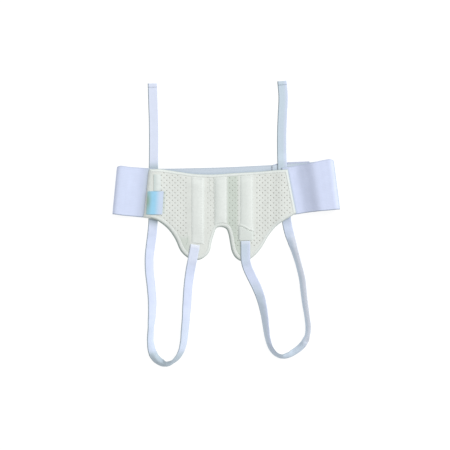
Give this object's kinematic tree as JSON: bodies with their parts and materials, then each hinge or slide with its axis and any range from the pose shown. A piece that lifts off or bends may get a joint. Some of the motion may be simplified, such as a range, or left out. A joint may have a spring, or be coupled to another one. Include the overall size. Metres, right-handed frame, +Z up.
{
  "type": "hernia belt",
  "caption": "Flat-laid groin support belt: padded two-lobed front panel, wide elastic side bands closed at the back, and two looped leg straps.",
  "frame": {"origin": "underside of the back band, under the middle of the belt, on the surface that the belt lies on", "axes": "+X to the right of the laid belt seen from its front, +Y to its upper waist edge, +Z up out of the surface"},
  "size_m": [0.4827, 0.6095, 0.025],
  "materials": {
    "foam_fabric": "perforated laminated foam, matt",
    "binding_tape": "smooth folded tape, matt",
    "strip_cloth": "smooth knitted cloth, matt",
    "elastic": "ribbed woven elastic, soft sheen",
    "hook_tape": "hook tape, matt",
    "webbing": "narrow woven elastic, soft sheen",
    "white_label": "satin label, blank",
    "blue_label": "coated label, blank"
  },
  "bodies": {
    "root": {"front_panel": "foam_fabric", "edge_binding": "binding_tape", "strip_left": "strip_cloth", "strip_centre": "strip_cloth", "strip_right": "strip_cloth", "anchor_patch": "strip_cloth", "side_band_left": "elastic", "side_band_right": "elastic", "hook_tab": "hook_tape", "leg_strap_left": "webbing", "leg_strap_right": "webbing", "care_label": "white_label", "side_label": "blue_label"}
  },
  "joints": []
}
